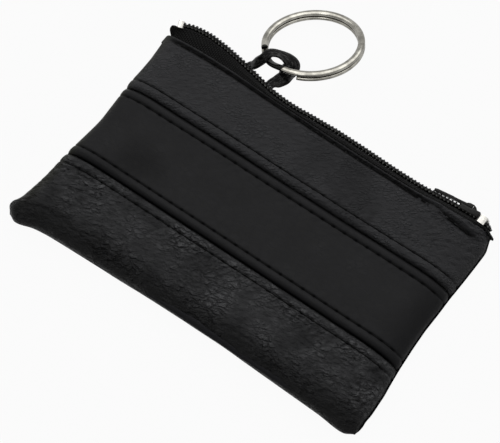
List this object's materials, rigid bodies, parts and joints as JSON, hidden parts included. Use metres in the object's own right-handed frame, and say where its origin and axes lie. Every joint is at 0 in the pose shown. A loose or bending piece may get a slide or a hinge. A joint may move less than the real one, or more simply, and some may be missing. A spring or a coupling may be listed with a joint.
{
  "type": "zipped key pouch",
  "caption": "Flat zipped pouch for keys in black leather strips with topstitched seams, a coil zip with slider and pull tab, and a split ring on a leather strap.",
  "frame": {"origin": "middle of the flat back of the pouch, on the surface it lies on", "axes": "+X along the zip towards the closed end, +Y from the bottom fold to the zip, +Z out of the front"},
  "size_m": [0.112, 0.1081, 0.0141],
  "materials": {
    "grained_leather": "black leather with a fine pebbled grain, satin",
    "smooth_leather": "smooth black leather, satin",
    "lining": "thin black woven lining",
    "thread": "black sewing thread",
    "zip_tape": "fine black woven tape",
    "zip_coil": "glossy black nylon coil",
    "stop_metal": "bright crimped metal",
    "slider_metal": "black lacquered metal",
    "strap_leather": "folded black leather, satin",
    "ring_nickel": "polished nickel plate"
  },
  "bodies": {
    "pouch": {"front_top_panel": "grained_leather", "front_centre_strip": "smooth_leather", "bottom_panel": "grained_leather", "back_centre_strip": "smooth_leather", "back_top_panel": "grained_leather", "lining_pocket": "lining", "front_stitch_row_1": "thread", "front_stitch_row_2": "thread", "front_stitch_row_3": "thread", "front_stitch_row_4": "thread", "zip_stitch_row": "thread", "side_stitch_left": "thread", "side_stitch_right": "thread", "zip_tape_front": "zip_tape", "zip_tape_back": "zip_tape", "zip_coil_front_left": "zip_coil", "zip_coil_front_right": "zip_coil", "zip_coil_back": "zip_coil", "zip_stop_left": "stop_metal", "zip_stop_right_front": "stop_metal", "zip_stop_right_back": "stop_metal", "strap_end_left": "strap_leather", "strap_end_right": "strap_leather"},
    "lip": {"zip_tape_lip": "zip_tape", "zip_coil_lip": "zip_coil"},
    "slider": {"slider_body": "slider_metal"},
    "pull_tab": {"pull_tab": "slider_metal"},
    "strap": {"strap_loop": "strap_leather"},
    "ring": {"split_ring": "ring_nickel"}
  },
  "joints": [
    {"name": "lip_fold", "type": "hinge", "parent": "pouch", "child": "lip", "pos_m": [0, 0.03505, 0.00775], "axis": [1, 0, 0], "range_deg": [0, 80]},
    {"name": "slider_travel", "type": "hinge", "parent": "pouch", "child": "slider", "pos_m": [0.02, 0.4824, 0.00525], "axis": [0, 0, -1], "range_deg": [0, 11.9]},
    {"name": "pull_tab_flip", "type": "hinge", "parent": "slider", "child": "pull_tab", "pos_m": [0.04636, 0.04156, 0.00611], "axis": [-0.0204, 0.3414, -0.9397], "range_deg": [0, 175]},
    {"name": "strap_flex", "type": "hinge", "parent": "pouch", "child": "strap", "pos_m": [-0.0275, 0.04335, 0.00155], "axis": [1, 0, 0], "range_deg": [-50, 5]},
    {"name": "ring_swing", "type": "hinge", "parent": "strap", "child": "ring", "pos_m": [-0.02354, 0.04727, 0.00843], "axis": [0.8694, -0.3285, 0.3691], "range_deg": [-20, 105]}
  ]
}
